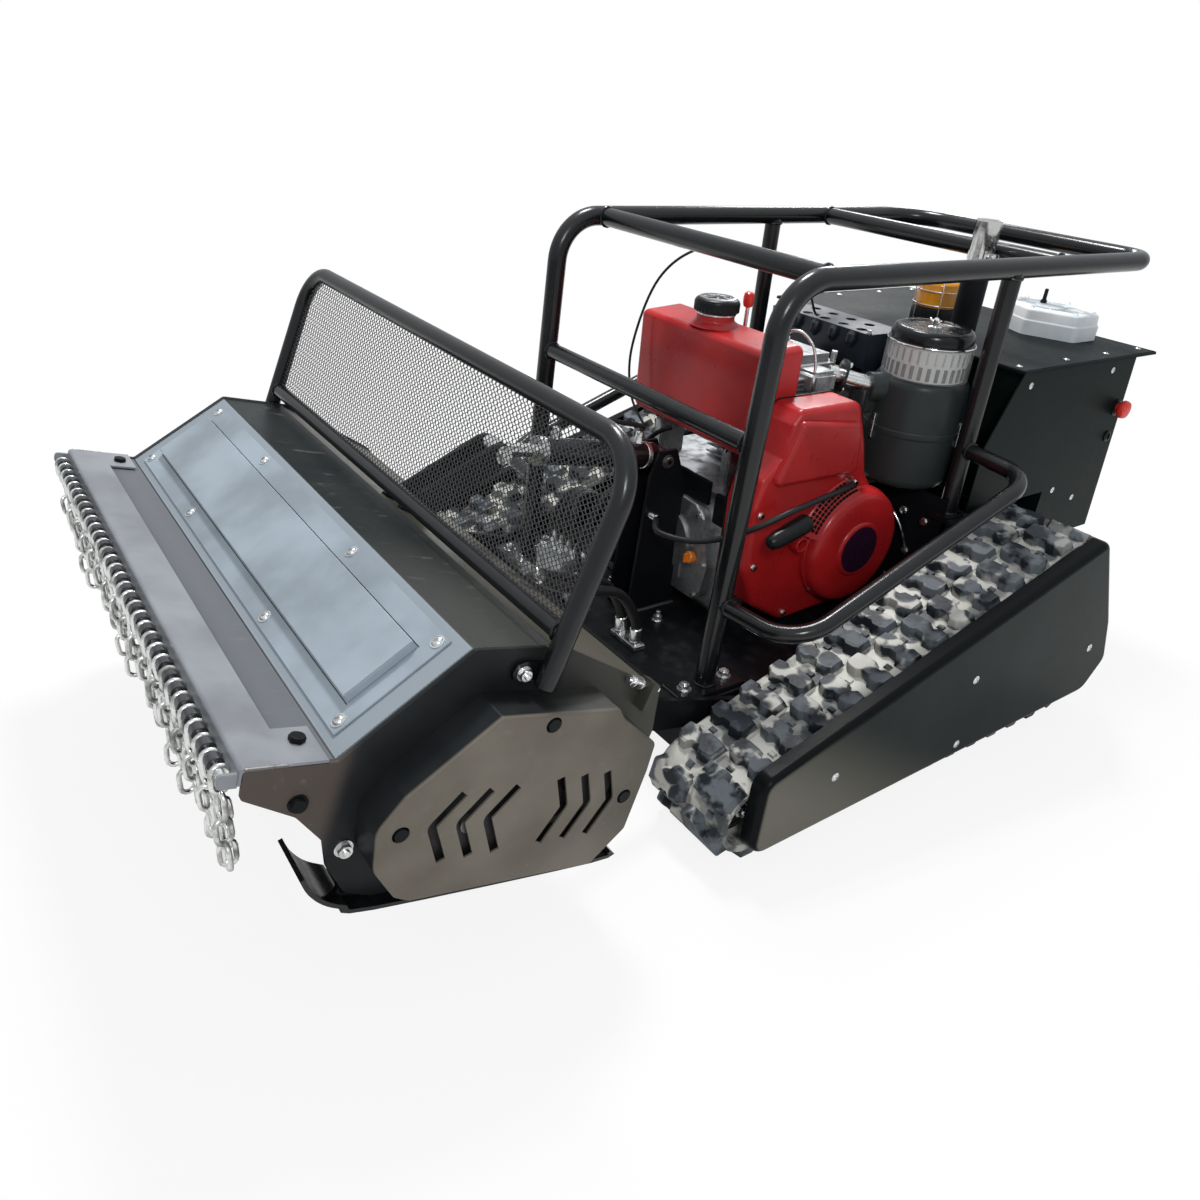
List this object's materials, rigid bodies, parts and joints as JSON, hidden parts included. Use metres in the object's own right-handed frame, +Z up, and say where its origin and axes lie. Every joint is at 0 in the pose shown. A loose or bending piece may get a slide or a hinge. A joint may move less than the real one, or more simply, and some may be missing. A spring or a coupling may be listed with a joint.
{
  "type": "remote-controlled tracked flail mower",
  "caption": "Low remote-controlled mower on rubber tracks, with a hydraulic lifting flail deck, a chain curtain in front, a tubular cage around an upright engine, and a rear control box.",
  "frame": {"origin": "on the ground, under the middle of the whole machine's bounding box with the deck raised as stored", "axes": "+Z up, -Y towards the flail deck and the chain curtain in front, +X towards the machine's left-hand side, where the belt drive and the recoil starter are"},
  "size_m": [1.224, 2.118, 0.958],
  "materials": {
    "black_coat": "satin powder coat",
    "deck_coat": "satin powder coat, lightly weathered",
    "slate_coat": "satin",
    "engine_red": "gloss paint on pressed sheet",
    "cast_aluminium": "die-cast, satin",
    "cast_iron_part": "dark, matte",
    "bright_zinc": "bright zinc plate",
    "chrome": "polished",
    "steel": "worn steel",
    "rubber": "matte, dusty",
    "black_plastic": "moulded, half gloss",
    "clear_plastic": "clear",
    "amber": "clear amber",
    "red_plastic": "moulded"
  },
  "bodies": {
    "chassis": {"chassis_tub": "black_coat", "track_left": "rubber", "track_right": "rubber", "track_frame_left": "black_coat", "track_frame_right": "black_coat", "track_cover_left": "black_coat", "track_cover_right": "black_coat", "drive_motor_left": "cast_iron_part", "drive_motor_right": "cast_iron_part", "cage_main_tube": "black_coat", "cage_front_bar": "black_coat", "cage_middle_bar": "black_coat", "cage_low_bar": "black_coat", "cage_side_left": "black_coat", "cage_side_right": "black_coat", "engine_block": "cast_aluminium", "cylinder_head": "cast_aluminium", "fan_shroud": "engine_red", "recoil_cover": "engine_red", "fuel_tank": "engine_red", "air_cleaner": "black_plastic", "pre_cleaner": "clear_plastic", "muffler": "black_coat", "exhaust_stack": "chrome", "hydraulic_pump": "cast_aluminium", "throttle_cable": "rubber", "hydraulic_hoses": "rubber", "rear_box": "black_coat", "rear_box_lid": "black_coat", "receiver_housing": "cast_aluminium", "beacon": "amber"},
    "deck": {"deck_shell": "deck_coat", "deck_side_left": "deck_coat", "deck_side_right": "deck_coat", "skid_left": "steel", "skid_right": "steel", "chain_carrier": "black_coat", "inspection_cover": "slate_coat", "belt_cover": "deck_coat", "drive_belt": "rubber", "deck_motor": "cast_iron_part", "guard_frame": "black_coat", "guard_mesh": "black_coat"},
    "curtain": {"chain_curtain": "bright_zinc"},
    "rotor": {"flail_rotor": "steel", "rotor_pulley": "cast_iron_part"},
    "motor_drive": {"motor_pulley": "steel"},
    "sprocket_left": {"drive_sprocket_left": "cast_iron_part"},
    "idler_left": {"front_idler_left": "cast_iron_part"},
    "roller_left": {"rear_roller_left": "cast_iron_part"},
    "sprocket_right": {"drive_sprocket_right": "cast_iron_part"},
    "idler_right": {"front_idler_right": "cast_iron_part"},
    "roller_right": {"rear_roller_right": "cast_iron_part"},
    "crank": {"flywheel": "cast_iron_part"},
    "recoil_grip": {"recoil_handle": "black_plastic"},
    "cap": {"fuel_cap": "black_plastic"},
    "decompression": {"decompression_lever": "red_plastic"},
    "stop": {"stop_button": "red_plastic"},
    "cylinder": {"lift_cylinder": "black_coat"},
    "piston_rod": {"lift_rod": "chrome"}
  },
  "joints": [
    {"name": "deck_lift", "type": "hinge", "parent": "chassis", "child": "deck", "pos_m": [0, -0.11295, 0.1418], "axis": [1, 0, 0], "range_deg": [0, 14.5], "deforming": ["hydraulic_hoses"]},
    {"name": "curtain_swing", "type": "hinge", "parent": "deck", "child": "curtain", "pos_m": [0, -1.04808, 0.45594], "axis": [1, 0, 0], "range_deg": [-60, 8]},
    {"name": "rotor_spin", "type": "hinge", "parent": "deck", "child": "rotor", "pos_m": [0, -0.77972, 0.3194], "axis": [1, 0, 0], "continuous": true},
    {"name": "motor_pulley_spin", "type": "hinge", "parent": "deck", "child": "motor_drive", "pos_m": [0, -0.59601, 0.30288], "axis": [1, 0, 0], "continuous": true},
    {"name": "sprocket_left_spin", "type": "hinge", "parent": "chassis", "child": "sprocket_left", "pos_m": [0.4845, 0.53605, 0.34], "axis": [1, 0, 0], "continuous": true},
    {"name": "idler_left_spin", "type": "hinge", "parent": "chassis", "child": "idler_left", "pos_m": [0.4845, -0.24845, 0.0856], "axis": [1, 0, 0], "continuous": true},
    {"name": "roller_left_spin", "type": "hinge", "parent": "chassis", "child": "roller_left", "pos_m": [0.4845, 0.63785, 0.0892], "axis": [1, 0, 0], "continuous": true},
    {"name": "sprocket_right_spin", "type": "hinge", "parent": "chassis", "child": "sprocket_right", "pos_m": [-0.4845, 0.53605, 0.34], "axis": [1, 0, 0], "continuous": true},
    {"name": "idler_right_spin", "type": "hinge", "parent": "chassis", "child": "idler_right", "pos_m": [-0.4845, -0.24845, 0.0856], "axis": [1, 0, 0], "continuous": true},
    {"name": "roller_right_spin", "type": "hinge", "parent": "chassis", "child": "roller_right", "pos_m": [-0.4845, 0.63785, 0.0892], "axis": [1, 0, 0], "continuous": true},
    {"name": "flywheel_spin", "type": "hinge", "parent": "chassis", "child": "crank", "pos_m": [0, 0.27005, 0.343], "axis": [1, 0, 0], "continuous": true},
    {"name": "recoil_pull", "type": "slide", "parent": "chassis", "child": "recoil_grip", "axis": [0.8571, 0, 0.5151], "range_m": [0, 0.45], "stiffness_N_per_m": 80, "springref_m": -0.1},
    {"name": "fuel_cap_turn", "type": "hinge", "parent": "chassis", "child": "cap", "pos_m": [-0.045, 0.08205, 0.7623], "axis": [0, 0, 1], "range_deg": [0, 90]},
    {"name": "decompression_tilt", "type": "hinge", "parent": "chassis", "child": "decompression", "pos_m": [-0.06, 0.17905, 0.699], "axis": [1, 0, 0], "range_deg": [-50, 0], "stiffness_Nm_per_rad": 1, "springref_deg": 17.19},
    {"name": "stop_press", "type": "slide", "parent": "chassis", "child": "stop", "axis": [-1, 0, 0], "range_m": [0, 0.006], "stiffness_N_per_m": 2000, "springref_m": -0.002},
    {"name": "lift_cylinder_swing", "type": "hinge", "parent": "chassis", "child": "cylinder", "pos_m": [0, -0.06595, 0.5], "axis": [1, 0, 0], "range_deg": [0, 13.8]},
    {"name": "lift_rod_slide", "type": "slide", "parent": "cylinder", "child": "piston_rod", "axis": [0, -0.9845, 0.1753], "range_m": [0, 0.0912]}
  ],
  "couplings": [
    {"joint": "motor_pulley_spin", "follows": "rotor_spin", "ratio": 2.4062},
    {"joint": "idler_left_spin", "follows": "sprocket_left_spin", "ratio": 1.4608},
    {"joint": "roller_left_spin", "follows": "sprocket_left_spin", "ratio": 1.3689},
    {"joint": "idler_right_spin", "follows": "sprocket_right_spin", "ratio": 1.4608},
    {"joint": "roller_right_spin", "follows": "sprocket_right_spin", "ratio": 1.3689},
    {"joint": "lift_cylinder_swing", "follows": "deck_lift", "ratio": 0.95},
    {"joint": "lift_rod_slide", "follows": "deck_lift", "m_per_rad": 0.3598}
  ]
}
